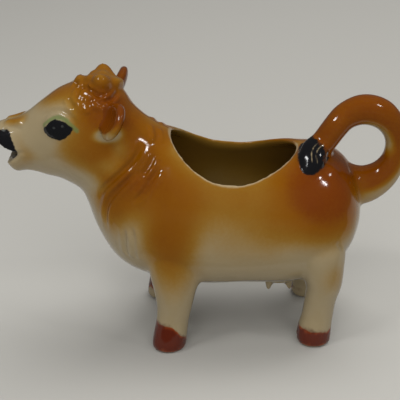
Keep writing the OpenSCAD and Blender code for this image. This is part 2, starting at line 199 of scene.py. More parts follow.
def innerRow(t):
    # the section moved in by the wall, square to the surface
    step = casting["wallStep"]
    a, b, s = (curveThrough(castRows, k) for k in (max(t - step, 0), t + step, t))
    run = math.hypot(b[0] - a[0], b[1] - a[1])
    radius = [(r[2] + (r[3] + r[4]) / 2) / 2 for r in (a, b)]
    slope = math.atan2(radius[1] - radius[0], run)
    shift = casting["wall"] * math.sin(slope) / run
    inset = casting["wall"] * math.cos(slope)
    return (s[0] + (b[0] - a[0]) * shift, s[1] + (b[1] - a[1]) * shift,
            s[2] - inset, s[3] - inset, s[4] - inset, s[5], s[6])


def castForm(name, rowAt, last, mesh):
    return rolledForm(name, lambda u, v: sectionPoint(rowAt(v * last), u * math.tau), *mesh)


def makeShell():
    return castForm("shellForm", lambda t: curveThrough(castRows, t), len(castRows) - 1, casting["shellMesh"])


def makeCavity():
    return castForm("cavityForm", innerRow, casting["cavityRows"], casting["cavityMesh"])


# legs

legs = {
    "frontSpacing": 38.5, "rearSpacing": 35.5, "hoofLength": 13, "hoofWidth": 12.4, "step": 4,
    "frontShare": 0.797, "rearShare": 0.197, "mesh": (32, 40),
    # height, shift outward, shift forward, half-length, half-width
    "front": [
        (0.00, 0.00, 0.01, 0.94, 0.92), (0.12, 0.00, 0.01, 1.01, 1.00), (0.36, 0.00, -0.06, 0.98, 0.94),
        (0.60, -0.02, -0.13, 0.95, 0.88), (0.82, -0.02, -0.19, 1.00, 0.92), (1.00, -0.02, -0.22, 1.07, 0.98),
        (1.25, -0.03, -0.25, 1.22, 1.06), (1.60, -0.06, -0.30, 1.50, 1.14), (2.00, -0.11, -0.33, 1.60, 1.16),
        (2.40, -0.22, -0.33, 1.40, 1.04),
    ],
    "rear": [
        (0.00, 0.00, 0.00, 0.93, 0.92), (0.12, 0.00, 0.02, 1.00, 1.00), (0.36, 0.00, -0.02, 0.97, 0.94),
        (0.60, -0.02, -0.10, 0.91, 0.86), (0.82, -0.02, -0.15, 0.91, 0.88), (1.00, 0.00, -0.20, 0.94, 0.94),
        (1.25, 0.02, -0.27, 1.02, 1.06), (1.60, 0.02, -0.22, 1.22, 1.18), (2.00, -0.01, -0.12, 1.48, 1.24),
        (2.40, -0.16, 0.02, 1.46, 1.10),
    ],
}
frontX = casting["rumpX"] - legs["frontShare"] * casting["length"]
rearX = casting["rumpX"] - legs["rearShare"] * casting["length"]
legPlaces = {
    "front_left_leg": ("front", frontX, -legs["frontSpacing"] / 2),
    "front_right_leg": ("front", frontX - legs["step"], legs["frontSpacing"] / 2),
    "rear_left_leg": ("rear", rearX, -legs["rearSpacing"] / 2),
    "rear_right_leg": ("rear", rearX, legs["rearSpacing"] / 2),
}


def makeLeg(name):
    kind, x, y = legPlaces[name]
    rows = legs[kind]
    side = math.copysign(1, y)
    long, wide = legs["hoofLength"], legs["hoofWidth"]

    def place(u, v):
        height, out, forward, halfLength, halfWidth = curveThrough(rows, v * (len(rows) - 1))
        return (x - forward * long + halfLength * long / 2 * math.cos(u * math.tau),
                y + side * out * wide + halfWidth * wide / 2 * math.sin(u * math.tau),
                max(height, 0) * casting["bellyZ"])

    return rolledForm(name + "Form", place, *legs["mesh"])


# tail, tuft, horns and ears: tubes along a path

def tubePoint(centre, across, over, halfAcross, halfOver, u):
    turn = u * math.tau
    return centre + across * (halfAcross * math.cos(turn)) + over * (halfOver * math.sin(turn))


tail = {
    "hole": 16.8, "thickness": 10, "loopX": 0.02, "loopZ": 0.955,
    # direction from the middle of the hole, radius, shift to the left
    "rows": [(-122, 1.3, 0), (-92, 1.45, 0), (-62, 1.2, 0), (-32, 0.95, 0), (0, 0.78, 0), (30, 0.92, 0),
             (60, 1.08, 0), (88, 1.1, 0), (115, 1.0, 0.015), (138, 0.94, 0.05)],
    "endRow": 3.2, "endAngle": 100, "endThickness": 0.92, "step": 0.1, "mesh": (40, 80),
}
loopX = casting["rumpX"] + tail["loopX"] * tail["hole"]
loopZ = casting["bellyZ"] + tail["loopZ"] * casting["height"]
tuft = {
    "length": 18, "width": 10.5, "row": 3.26, "angle": 96, "run": 0.38, "fall": 0.85,
    # place along the tuft, half-width, half-thickness, height of its middle
    "rows": [(0, 0.28, 0.24, 0.26), (0.12, 0.37, 0.29, 0.26), (0.26, 0.45, 0.32, 0.22),
             (0.4, 0.49, 0.32, 0.17), (0.54, 0.48, 0.29, 0.12), (0.68, 0.42, 0.25, 0.08),
             (0.8, 0.33, 0.20, 0.04), (0.91, 0.21, 0.15, 0.02), (1, 0.07, 0.08, 0.01)],
    "thinnest": 0.03, "step": 0.05, "mesh": (32, 36),
}


def tailRows():
    rows = []
    for degrees, radius, shift in tail["rows"]:
        out = tail["hole"] / 2 + radius * tail["thickness"] / 2
        rows.append((loopX + out * math.cos(math.radians(degrees)), -shift * casting["width"],
                     loopZ + out * math.sin(math.radians(degrees)), radius * tail["thickness"] / 2))
    end = skinPoint(tail["endRow"], tail["endAngle"])
    rows.append((*end, tail["endThickness"] * tail["thickness"] / 2))
    return rows


def makeTail():
    rows = tailRows()
    last = len(rows) - 1

    def place(u, v):
        here = curveThrough(rows, v * last)
        ahead = (Vector(curveThrough(rows, min(v * last + tail["step"], last))[:3])
                 - Vector(curveThrough(rows, max(v * last - tail["step"], 0))[:3])).normalized()
        out = ahead.cross(sideways).normalized()
        return tubePoint(Vector(here[:3]), out, ahead.cross(out), here[3], here[3], u)

    return rolledForm("tailForm", place, *tail["mesh"])


def tuftMiddle(u, out):
    # over the middle line of the tuft, which runs down the hip
    degrees = tuft["angle"] + math.degrees(2 * u * tuft["fall"] * tuft["length"] / casting["height"])
    t = tuft["row"] + u * tuft["run"]
    return skinPoint(t, degrees) + out * skinNormal(t, degrees)


def makeTuft():
    last = len(tuft["rows"]) - 1

    def place(u, v):
        share, halfWidth, halfThickness, lift = curveThrough(tuft["rows"], v * last)
        normal = skinNormal(tuft["row"] + share * tuft["run"], tuft["angle"])
        ahead = (tuftMiddle(share + tuft["step"], 0) - tuftMiddle(share - tuft["step"], 0)).normalized()
        halves = [max(half, tuft["thinnest"]) * tuft["width"] for half in (halfWidth, halfThickness)]
        middle = tuftMiddle(share, lift * tail["thickness"])
        return tubePoint(middle, ahead.cross(normal).normalized(), normal, *halves, u)

    return rolledForm("tuftForm", place, *tuft["mesh"])


horn = {"length": 8, "thickness": 7.6, "row": 11.75, "angle": 99, "sink": 0.36, "turnOut": -105, "drop": -34,
        "curl": 50, "radii": [1, 1, 1, 0.99, 0.96, 0.91, 0.83, 0.7, 0.46, 0.1], "mesh": (32, 24)}
ear = {"length": 16, "width": 14, "thickness": 6, "row": 11.2, "angle": 133, "sink": 0.14,
       # turn outward, drop and roll in degrees
       "left": (-74, 4, 58), "right": (-83, -8, 58),
       # place along the ear, half-width, half-thickness
       "rows": [(0, 0.5, 0.8), (0.15, 0.66, 0.95), (0.3, 0.86, 1), (0.45, 0.98, 1), (0.6, 1, 0.95),
                (0.72, 0.94, 0.85), (0.83, 0.8, 0.7), (0.92, 0.58, 0.5), (0.98, 0.3, 0.26), (1.0, 0.08, 0.1)],
       # the hollow: its place along the ear, length, width and depth
       "cup": (0.58, 0.84, 0.84, 0.36), "mesh": (40, 36), "cupMesh": (40, 24)}


def mirrorOver(form):
    pickOnly(form)
    form.data.transform(Matrix.Diagonal((1, -1, 1, 1)))
    form.data.flip_normals()
    return form


def eulerTurn(outward, drop, roll=0):
    return (Matrix.Rotation(math.radians(outward), 3, "Z") @ Matrix.Rotation(math.radians(drop), 3, "Y")
            @ Matrix.Rotation(math.radians(roll), 3, "X"))


def rootOf(piece):
    # where a horn or an ear grows out of the head
    place = piece["row"], piece["angle"]
    return skinPoint(*place) - piece["sink"] * piece["length"] * skinNormal(*place)


def makeHorn():
    root = rootOf(horn)
    turn = eulerTurn(horn["turnOut"], horn["drop"])
    bend = horn["length"] / math.radians(horn["curl"])
    last = len(horn["radii"]) - 1

    def place(u, v):
        radius = curveThrough([(r,) for r in horn["radii"]], v * last)[0] * horn["thickness"] / 2
        a = math.radians(horn["curl"]) * v * last / (last - 1)
        ahead = Vector((math.cos(a), 0, math.sin(a)))
        centre = Vector((bend * math.sin(a), 0, bend * (1 - math.cos(a))))
        return root + turn @ tubePoint(centre, sideways, ahead.cross(sideways), radius, radius, u)

    return rolledForm("hornForm", place, *horn["mesh"])


def makeEar(side):
    root = rootOf(ear)
    turn = eulerTurn(*ear[side])
    last = len(ear["rows"]) - 1

    def place(u, v):
        share, halfWidth, halfThickness = curveThrough(ear["rows"], v * last)
        point = Vector((share * ear["length"], halfWidth * ear["width"] / 2 * math.cos(u * math.tau),
                        halfThickness * ear["thickness"] / 2 * math.sin(u * math.tau)))
        return root + turn @ point

    form = rolledForm("earForm", place, *ear["mesh"])
    cupPlace, cupLength, cupWidth, cupDepth = ear["cup"]
    middle = root + turn @ Vector((cupPlace * ear["length"], 0, ear["thickness"] / 2))
    halves = (cupLength * ear["length"] / 2, cupWidth * ear["width"] / 2, cupDepth * ear["thickness"])
    cup = makeOval("cupForm", middle, halves, ear["cupMesh"], turn)
    finishWith(form, "BOOLEAN", object=cup, operation="DIFFERENCE", solver="EXACT")
    deleteForms(cup)
    return form


# face and udder details

face = {
    "eyeRow": 13.62, "eyeAngle": 159, "eyeLength": 10.4, "eyeHeight": 0.7, "eyeThickness": 0.24,
    "lidRows": 0.85, "lidRise": 17, "lidThickness": 1.7, "lidEnd": 0.35, "lidSink": 0.35, "lidStep": 0.05,
    "eyeMesh": (32, 20), "lidMesh": (12, 24),
    "mouthLine": 0.045, "mouthHeight": 5.2, "mouthWidth": 10, "mouthOverlap": 1, "mouthMesh": (32, 8),
    # the gap between the lips, seen from the side
    "gape": [(-64.6, 76.1), (-67.5, 76.8), (-70.4, 78.4), (-72.6, 80), (-78, 82), (-78, 70), (-70.8, 70.4),
             (-67.4, 72.6), (-64.4, 75.2)],
    "gapeMesh": (8, 12),
}
noseX = neckX - casting["headLength"]
mouthZ = neckZ + face["mouthLine"] * casting["headHeight"]


def makeEye():
    point, normal = (about(face["eyeRow"], face["eyeAngle"]) for about in (skinPoint, skinNormal))
    heading = Matrix.Rotation(math.atan2(normal.y, normal.x), 3, "Z")
    tilt = Matrix.Rotation(math.acos(normal.z), 3, "Y")
    half = face["eyeLength"] / 2
    halves = (face["eyeHeight"] * half, half, face["eyeThickness"] * half)
    ball = makeOval("eyeForm", point, halves, face["eyeMesh"], heading @ tilt)

    def lidAt(a):
        return (face["eyeRow"] - face["lidRows"] * math.cos(a),
                face["eyeAngle"] - face["lidRise"] * math.sin(a))

    def place(u, v):
        a = math.pi * v
        out, centre = skinNormal(*lidAt(a)), skinPoint(*lidAt(a))
        ahead = (centre - skinPoint(*lidAt(a - face["lidStep"]))).normalized()
        swell = math.sin(a) ** 0.5 if v not in (0, 1) else 0
        thick = face["lidThickness"] / 2 * (face["lidEnd"] + (1 - face["lidEnd"]) * swell)
        return tubePoint(centre - face["lidSink"] * out, out.cross(ahead).normalized(), out, thick, thick, u)

    return joinForms("eyeForm", [ball, rolledForm("lidForm", place, *face["lidMesh"])])


forelock = {
    "rows": (12.9, 11.2), "angle": 90, "turnPerMm": 3.2, "lift": 0.25, "mesh": (16, 10),
    # place along the forelock, place across it, radius
    "curls": [(0.0, 0, 2.2), (0.25, -2.6, 2.3), (0.3, 2.4, 2.2), (0.5, 0.2, 2.6), (0.62, -3.6, 2.2),
              (0.68, 3.4, 2.3), (0.85, -1.2, 2.4), (0.95, 1.6, 2.3)],
}


def makeForelock():
    first, last = forelock["rows"]
    forms = []
    for share, y, radius in forelock["curls"]:
        t = first + share * (last - first)
        lift = forelock["lift"] * radius * skinNormal(t, forelock["angle"])
        middle = skinPoint(t, forelock["angle"] - y * forelock["turnPerMm"]) + lift
        forms.append(makeOval("curlForm", middle, (radius, radius, radius), forelock["mesh"]))
    return joinForms("forelockForm", forms)


udder = {"length": 18, "width": 20, "height": 10.8, "drop": 2.6, "share": 0.33, "mesh": (32, 20),
         # the teats: their length, width and places along and across the udder
         "teat": 3, "teatWidth": 0.48, "teats": [(-0.24, -0.23), (-0.24, 0.23), (0.2, -0.23), (0.2, 0.23)],
         "teatMesh": (16, 12)}


def makeUdder():
    x = casting["rumpX"] - udder["share"] * casting["length"]
    z = casting["bellyZ"] - udder["drop"] + udder["height"] / 2
    halves = [udder[side] / 2 for side in ("length", "width", "height")]
    forms = [makeOval("udderForm", (x, 0, z), halves, udder["mesh"])]
    half = udder["teat"] * udder["teatWidth"]
    for along, across in udder["teats"]:
        tip = (x + along * udder["length"], across * udder["width"], z - udder["height"] / 2)
        forms.append(makeOval("teatForm", tip, (half, half, udder["teat"]), udder["teatMesh"]))
    return joinForms("udderForm", forms)


# what is cut out of the clay

# a little smaller than the finished opening, because its edge gives way as it is smoothed; the cut runs
# between two shares of the height of the barrel
opening = {"length": 43.7, "width": 38, "fromRump": 23.9, "taper": 0.1, "cut": (0.5, 1.5), "mesh": (96, 8)}
openingX = casting["rumpX"] - opening["fromRump"] - opening["length"] / 2


def openingPlan(u):
    c, s = math.cos(u * math.tau), math.sin(u * math.tau)
    return openingX + c * opening["length"] / 2, s * (1 - opening["taper"] * c) * opening["width"] / 2


def makeOpeningCut():
    low, high = (casting["bellyZ"] + casting["height"] * share for share in opening["cut"])
    return rolledForm("openingForm", lambda u, v: (*openingPlan(u), low + v * (high - low)), *opening["mesh"])


def makeMouthCut():
    # the gap between the lips, and an oval channel behind it
    outline = face["gape"]
    perSide, across = face["gapeMesh"]

    def gapPoint(u, v):
        at = min(int(u * len(outline)), len(outline) - 1)
        on = u * len(outline) - at
        (x, z), (nextX, nextZ) = outline[at], outline[(at + 1) % len(outline)]
        return x + on * (nextX - x), casting["headWidth"] * (v - 0.5), z + on * (nextZ - z)

    insideX = innerRow(casting["cavityRows"])[0] + face["mouthOverlap"]

    def channelPoint(u, v):
        return (insideX + v * (noseX - face["mouthOverlap"] - insideX),
                face["mouthWidth"] / 2 * math.cos(u * math.tau),
                mouthZ + face["mouthHeight"] / 2 * math.sin(u * math.tau))

    return (rolledForm("gapeForm", gapPoint, len(outline) * perSide, across),
            rolledForm("channelForm", channelPoint, *face["mouthMesh"]))


cleft = {"width": 1.1, "height": 0.5, "depth": 0.3}


def makeCleft(name):
    x, y = legPlaces[name][1:]
    deep, high = cleft["depth"] * legs["hoofLength"], cleft["height"] * legs["hoofLength"]
    toeX = x - legs["hoofLength"] / 2
    bpy.ops.mesh.primitive_cube_add(size=1, location=Vector((toeX, y, 0)) * mm, rotation=(0, 0, math.pi / 4))
    bpy.context.object.scale = (cleft["width"] * mm, cleft["width"] * mm, 2 * high * mm)
    form = settle(name + "CleftForm")
    stretch = 2 * deep / (cleft["width"] * math.sqrt(2))  # of the diagonal, because the cube stands on edge
    for vertex in form.data.vertices:
        vertex.co.x = toeX * mm + (vertex.co.x - toeX * mm) * stretch
    return form


# the clay: everything joined, its joints smoothed with slip, then hollowed

clay = {"coarseVoxel": 0.8, "fineVoxel": 0.66, "slipPasses": 7, "glazePasses": 4, "smoothing": 0.5}
legNames = list(legPlaces)


def smoothClay(form, passes, **settings):
    finishWith(form, "SMOOTH", factor=clay["smoothing"], iterations=passes, **settings)


def makeClay():
    forms = [makeShell(), makeTail(), makeTuft(), makeForelock(), makeUdder()]
    forms += [makeLeg(name) for name in legNames]
    forms += [makeHorn(), makeEar("left"), makeEye()]
    forms += [mirrorOver(form) for form in (makeHorn(), makeEar("right"), makeEye())]
    body = joinForms("clay", forms)
    finishWith(body, "REMESH", mode="VOXEL", voxel_size=clay["coarseVoxel"] * mm)
    smoothClay(body, clay["slipPasses"])
    print("clay joined:", len(body.data.polygons), "faces")
    cavity = makeCavity()
    cuts = [makeOpeningCut(), *makeMouthCut()] + [makeCleft(name) for name in legNames]
    for cut in [cavity] + cuts:
        finishWith(body, "BOOLEAN", object=cut, operation="DIFFERENCE", solver="EXACT")
    deleteForms(*cuts)
    print("clay hollowed:", len(body.data.polygons), "faces")
    finishWith(body, "REMESH", mode="VOXEL", voxel_size=clay["fineVoxel"] * mm)
    smoothClay(body, clay["glazePasses"])
    return body, cavity


# tooling: folds drawn in the soft clay, on both sides alike

def valuesOf(items, key, kind=float, each=1):
    # one value, or a row of them, for every point, edge, corner or face of a mesh
    flat = np.empty(len(items) * each, kind)
    items.foreach_get(key, flat)
    return flat.reshape(-1, each) if each > 1 else flat


def pointsOf(form):
    mesh = form.data
    return valuesOf(mesh.vertices, "co", each=3) / mm, valuesOf(mesh.vertex_normals, "vector", each=3)


def onLeft(points):
    left = points.copy()
    left[:, 1] = -np.abs(left[:, 1])
    return left


def soft(value, low, high):
    share = np.clip((value - low) / (high - low), 0, 1)
    return share * share * (3 - 2 * share)


def nearPath(points, path, perLeg=5):
    # distance to a smooth path through the given places, and how far along it
    spans = (len(path) - 1) * perLeg
    dots = np.array([curveThrough(path, k * (len(path) - 1) / spans) for k in range(spans + 1)])
    best, share = np.full(len(points), far), np.zeros(len(points))
    for k in range(spans):
        a, step = dots[k], dots[k + 1] - dots[k]
        on = np.clip((points - a) @ step / (step @ step), 0, 1)
        away = np.linalg.norm(points - a - on[:, None] * step, axis=1)
        nearer = away < best
        best[nearer] = away[nearer]
        share[nearer] = (k + on[nearer]) / spans
    return best, share


tooling = {
    # path, width of the groove, its depth, height of the ridge beside it
    "strokes": [
        ([(-20.3, -10.8, 79.5), (-22.1, -14.2, 75.4), (-25.7, -16, 72.1), (-30.1, -16.4, 68.2),
          (-34.5, -15.1, 63.8), (-36.5, -13.8, 58.1)], 0.9, 0.75, 0.45),
        ([(-22.2, -16.6, 70.7), (-26.6, -17.6, 66.7), (-31.7, -16.9, 61), (-34, -15.6, 55.7),
          (-34.5, -14.2, 46.9)], 0.9, 0.7, 0.45),
        ([(-17.6, -2.6, 82.4), (-17, -5, 81.6), (-16.4, -7.4, 80.3), (-17, -10, 78.4)], 0.9, -0.6, 0),
        ([(-14.6, -2, 81), (-13.8, -4, 80.2), (-13.4, -6.4, 78.8), (-13.6, -9, 77.4)], 0.8, -0.5, 0),
        ([(-15.9, -12.4, 75.5), (-17.6, -15.4, 72.3), (-20.2, -17.2, 69.4)], 0.9, 0.55, 0.35),
        ([(-14.1, -15.8, 71.6), (-16.7, -17.9, 68.4), (-20, -19.7, 64), (-23.7, -20.1, 60.4)],
         0.9, 0.6, 0.35),
        ([(-27.3, -20.1, 49.8), (-27.8, -19.1, 43.2), (-27, -17.5, 38)], 0.8, 0.5, 0.35),
        ([(-24.9, -21.3, 51.6), (-23.8, -20.8, 45), (-24.2, -19.3, 37.5)], 0.8, 0.6, 0.4),
        ([(47.6, -22.7, 43.7), (49.9, -21.2, 39.2)], 0.6, 0.5, 0.2),
        ([(-66, -9.3, 75.6), (-64, -9.6, 76), (-62, -9.8, 76.4)], 0.7, 0.4, 0.15),
        ([(-54.5, -8.9, 89), (-51.5, -9.5, 91.6), (-47.5, -11, 92.4), (-43.8, -12.8, 90.6),
          (-41.6, -14, 87.4)], 0.7, 0.45, 0.3),
        ([(-69.6, -1.8, 85), (-65.9, -3, 85.8), (-62, -5, 85.9)], 1.5, -0.7, 0),
        ([(-68.5, -4.6, 84.2), (-65.5, -5.4, 84.3), (-62.2, -6.8, 84.2)], 0.7, 0.4, 0),
        ([(-42, -8.3, 96.1), (-40.7, -5.5, 98), (-38.6, -5.8, 98.4), (-37, -7.8, 97.2)], 0.7, 0.6, 0.4),
        ([(-38, -3.9, 99.1), (-36.4, -7.1, 97.7), (-33.9, -8.8, 96.4), (-31.3, -7.3, 96.1)], 0.7, 0.7, 0.4),
        ([(-33.9, -9.9, 95), (-31.2, -9, 94.5), (-29, -6.5, 95), (-28.1, -3.4, 96)], 0.7, 0.6, 0.4),
        ([(-36.2, -9.6, 96), (-37.6, -10.8, 93.6), (-36.2, -11.6, 91.6)], 0.7, 0.5, 0.35),
        ([(-42.6, -4.4, 98), (-42, -2, 98.8), (-40, -0.8, 99.6)], 0.7, 0.6, 0.4),
        ([(-44.8, -7.4, 95.6), (-44, -9.6, 94.4), (-42, -11.2, 93)], 0.7, 0.4, 0.3),
        ([(-40.4, -9.2, 95.9), (-39.4, -10.8, 94.6), (-39.6, -12, 92.6)], 0.6, 0.4, 0.3),
        ([(-34.2, -10.4, 94.4), (-33, -11.2, 93.6), (-31.4, -10.4, 94.2)], 0.6, 0.4, 0.3),
    ],
    # place, radius, height
    "swellings": [
        ((-57.5, -9, 73.5), 5, 0.35), ((-41.2, -11.1, 93.5), 3.4, 0.5), ((-34.9, -11.2, 93.4), 2.4, 0.5),
        ((-38.3, -12.2, 92.2), 2, 0.4), ((-32, -8.6, 96.2), 2, 0.4), ((-36.6, -6.4, 99), 1.8, 0.4),
        ((-41, -4.6, 99), 1.8, 0.4), ((-40.6, -8.6, 96.8), 1.8, 0.35), ((-68.9, -5.3, 83.4), 1.2, -1.2),
        ((-46, -14, 76), 9, 0.4), ((46.9, -11.9, 66.7), 4, 0.6),
    ],
    "fade": 0.2, "ridgeAt": 2,  # the share of a stroke over which it fades, and the ridge's place in widths
    "rimPasses": 80, "rimReach": (1.3, 2.6), "rimLeast": 0.01, "rimSteps": 160,
    "press": 0.08, "pressFrom": 98,  # the curls are pressed down a little above this height
}


def rimPlace(points):
    # the nearest place on the plan of the opening, and how far away it is in plan
    steps = tooling["rimSteps"]
    dots = np.array([openingPlan(k / steps) for k in range(steps)])
    away = np.full(len(points), far)
    nearest = np.zeros(len(points), int)
    above = points[:, 2] > casting["bellyZ"] + casting["height"] / 2
    apart = np.linalg.norm(points[above, None, :2] - dots[None], axis=2)
    away[above], nearest[above] = np.min(apart, axis=1), np.argmin(apart, axis=1)
    return dots, nearest, away


def smoothRim(form):
    points, _ = pointsOf(form)
    group = form.vertex_groups.new(name="rimBlend")
    weights = 1 - soft(rimPlace(points)[2], *tooling["rimReach"])
    for index in np.nonzero(weights > tooling["rimLeast"])[0]:
        group.add([int(index)], float(weights[index]), "REPLACE")
    smoothClay(form, tooling["rimPasses"], vertex_group="rimBlend")
    form.vertex_groups.clear()


def toolClay(form):
    points, normals = pointsOf(form)
    left = onLeft(points)
    out = np.zeros(len(points))
    for path, width, depth, ridge in tooling["strokes"]:
        away, share = nearPath(left, path)
        fade = soft(share, 0, tooling["fade"]) * soft(1 - share, 0, tooling["fade"])
        beside = (away - tooling["ridgeAt"] * width) / width
        out += fade * (ridge * np.exp(-beside ** 2) - depth * np.exp(-(away / width) ** 2))
    for place, radius, height in tooling["swellings"]:
        out += height * (1 - soft(np.linalg.norm(left - np.array(place), axis=1), 0, radius))
    moved = points + normals * out[:, None]
    moved[:, 2] -= tooling["press"] * np.maximum(moved[:, 2] - tooling["pressFrom"], 0)
    form.data.vertices.foreach_set("co", (moved * mm).ravel())
    form.data.update()
    smoothClay(form, 1)


# paint: every measure is stored on the points of the clay, in shares or in millimetres to its edge

paint = {
    # middle, reach, strength and firmness of each puff of the airbrush; the last puff is painted shade that
    # darkens the muzzle
    "puffs": [
        ((-22, -14, 72), (22, 24, 22), 0.8, 0.25), ((-26, -5, 89), (20, 17, 16), 0.75, 0.25),
        ((-13, -5, 80), (9, 12, 8), 0.6, 0.1), ((-28, -14, 60), (14, 18, 17), 0.6, 0.1),
        ((-9, -22, 62), (20, 20, 22), 0.7, 0.1), ((-13, -26, 49), (17, 18, 17), 0.6, 0),
        ((14, -22, 61), (32, 24, 30), 0.56, 0), ((43, -18, 60.5), (27, 27, 26), 0.95, 0.25),
        ((-33, -13, 56), (13, 15, 17), 0.5, 0), ((39, -12, 68), (22, 22, 16), 0.6, 0.2),
        ((54, 0, 66), (14, 20, 20), 0.8, 0.3), ((-11, -25, 38), (16, 15, 22), 0.52, 0),
        ((-34, -4, 101), (12, 12, 10), 0.5, 0.2), ((-25, -20, 93), (12, 10, 10), 0.85, 0.3),
        ((26, -22, 50), (16, 16, 16), 0.3, 0), ((47, -23, 30), (8, 11, 10), 0.3, 0),
        ((-47, 0, 97), (25, 15, 11), 0.62, 0.2), ((-34, -9, 91), (15, 14, 15), 0.8, 0.3),
        ((-39, -14, 79), (18, 12, 14), 0.62, 0.1), ((-66, -3, 87), (9, 6, 4), 0.55, 0.1),
        # painted shade: this puff darkens the cream muzzle towards tan
        ((-64, -10, 76), (9, 9, 9), 0.35, 0.2),
    ],
    # the same for what the airbrush left bare
    "bare": [
        ((-57, -12, 82), (10, 9, 8), 0.9, 0.3), ((-46, -8, 65), (20, 16, 6.5), 0.75, 0.2),
        ((-39, -12, 50), (9, 14, 14), 0.3, 0.1), ((-69, -6, 76), (10, 12, 9), 0.9, 0.4),
        ((-30.5, -15.5, 83.8), (8, 8, 4.2), 0.95, 0.4), ((-27.6, -14, 78), (5, 8, 7), 0.4, 0),
        ((-31.5, -15.5, 72.5), (7, 8, 6), 0.4, 0),
    ],
    "under": 0.05,  # the least spray anywhere
    "elsewhere": -20,  # the distance to a painted spot, where the skin is not its own
    # the tail is sprayed all over, but thinly at two places: towards where, over what depth, how much less
    "tail": {"spray": 0.9, "edge": (6.5, 8.5), "spread": (0.4, 0.9), "inside": ((0.77, 0.64), (1, 4), 0.75),
             "outside": ((0.64, -0.77), (5, 8.5), 0.7)},
    "eye": {"middle": (-48.9, -13.3, 85.9), "inner": (-54.4, -11.5, 84.6), "outer": (-43.6, -13.9, 86.1),
            "top": (-47.8, -13, 89.2), "half": (5.6, 3.7), "roundness": 1.55},
    "lid": {"path": [(-53.4, -10.6, 87), (-51, -11.4, 89.2), (-48.4, -12, 90.1), (-45.8, -13, 89.6),
                     (-44.2, -13.7, 88), (-42, -14.1, 85.8)], "half": 0.8},
    # painted highlights: grey glints in the eye and one on the nose pad
    "glints": {"places": [(-50, -14, 86.9), (-46.9, -14.6, 87.7), (-69.6, -4.6, 82.9)], "size": 0.6},
    "disc": {"middle": (-29.5, -16.1, 91.3), "inner": (-33.3, -12.7, 89.8), "outer": (-25.4, -21.4, 94.1),
             "top": (-30, -11.6, 94.4), "half": (8, 6.4), "roundness": 2},
    "nosePad": {"upper": (-67.2, 83.5), "lower": (-65.3, 78.4), "top": 83.4, "bottom": 76.3},
    # height of the paint at the toe and how it slopes back, the bare edge below, and the bare inner side
    "hoof": {"front": 12.2, "slope": 0.15, "drop": 1.1, "dropFrom": 8, "rear": 7.0, "rearSlope": 0.12,
             "worn": 0.75, "inner": 4, "innerTurn": (0.1, 0.5)},
    "rim": {"out": 1.2, "wide": 1.4, "deep": 0.4, "worn": 0.9, "wornTo": 10, "cutWide": 1, "cutGap": 0.2},
    # painted shade: the cavity and the cut wall below the rim are given the darker inside colour
    "inside": 0.9,  # how far from the wall of the cavity its colour reaches
    # the black of the tuft, in widths of the tuft, and how it narrows to a point
    "tuft": {"half": 0.56, "narrowing": ((0.45, 2), (0.6, 8)), "shares": (0, 0.25, 0.5, 0.75, 1)},
    # painted highlights: pale arcs along the curls of the tuft, in the rim colour
    "arcs": {"width": 0.34,
             "paths": [[(39.5, -13.9, 71), (39.2, -11.9, 73.1), (40.5, -9.3, 75.4), (43.8, -7.7, 77.1)],
                       [(41.1, -13.9, 70.9), (40.9, -11.7, 73.4), (42.4, -9.6, 75.1), (44.6, -8.2, 75.6)]]},
}


def puff(points, middle, reach, firmness):
    away = np.linalg.norm((points - np.array(middle)) / np.array(reach), axis=1)
    return 1 - soft(away, firmness, 1)


def rimEdges(form, points):
    # how far inside the pale line along the rim a point lies, and how far down the cut below that line
    rim = paint["rim"]
    dots, nearest, away = rimPlace(points)
    tree = BVHTree.FromObject(form, bpy.context.evaluated_depsgraph_get())
    middle = np.array([openingX, 0])
    heights = []
    for dot in dots:
        out = dot + (dot - middle) / np.linalg.norm(dot - middle) * rim["out"]
        hit = tree.ray_cast(Vector((*out, casting["height"] * 2)) * mm, Vector((0, 0, -1)))[0]
        heights.append(hit.z / mm if hit else 0)
    above = points[:, 2] - np.array(heights)[nearest] + rim["deep"]
    return np.minimum(rim["wide"] - away, above), np.minimum(rim["cutWide"] - away, -rim["cutGap"] - above)


def spotDistance(left, spot):
    # distance to the edge of a painted almond or oval that lies on the skin
    middle, inner, outer, top = (np.array(spot[key], float) for key in ("middle", "inner", "outer", "top"))
    across = (outer - inner) / np.linalg.norm(outer - inner)
    up = top - middle
    up = up - across * (up @ across)
    up /= np.linalg.norm(up)
    a, b = (left - middle) @ across, (left - middle) @ up
    depth = np.abs((left - middle) @ np.cross(across, up))
    power = spot["roundness"]
    shape = (np.abs(a / spot["half"][0]) ** power + np.abs(b / spot["half"][1]) ** power) ** (1 / power)
    return np.where(depth < spot["half"][0], (1 - shape) * spot["half"][1], paint["elsewhere"])


def noseDistance(left):
    # distance into the black pad of the nose, ahead of a line and between two heights
    pad = paint["nosePad"]
    (ux, uz), (lx, lz) = pad["upper"], pad["lower"]
    length = math.hypot(lx - ux, lz - uz)
    behind = ((left[:, 0] - ux) * (lz - uz) - (left[:, 2] - uz) * (lx - ux)) / length
    return np.minimum(np.minimum(behind, pad["top"] - left[:, 2]), left[:, 2] - pad["bottom"])


def storeOn(form, name, values):
    layer = form.data.attributes.new(name, "FLOAT", "POINT")
    layer.data.foreach_set("value", np.asarray(values, np.float32))


def leftBy(puffs, left):
    # the share that a row of puffs leaves as it was
    return np.prod([1 - strength * puff(left, middle, reach, firmness)
                    for middle, reach, strength, firmness in puffs], axis=0)


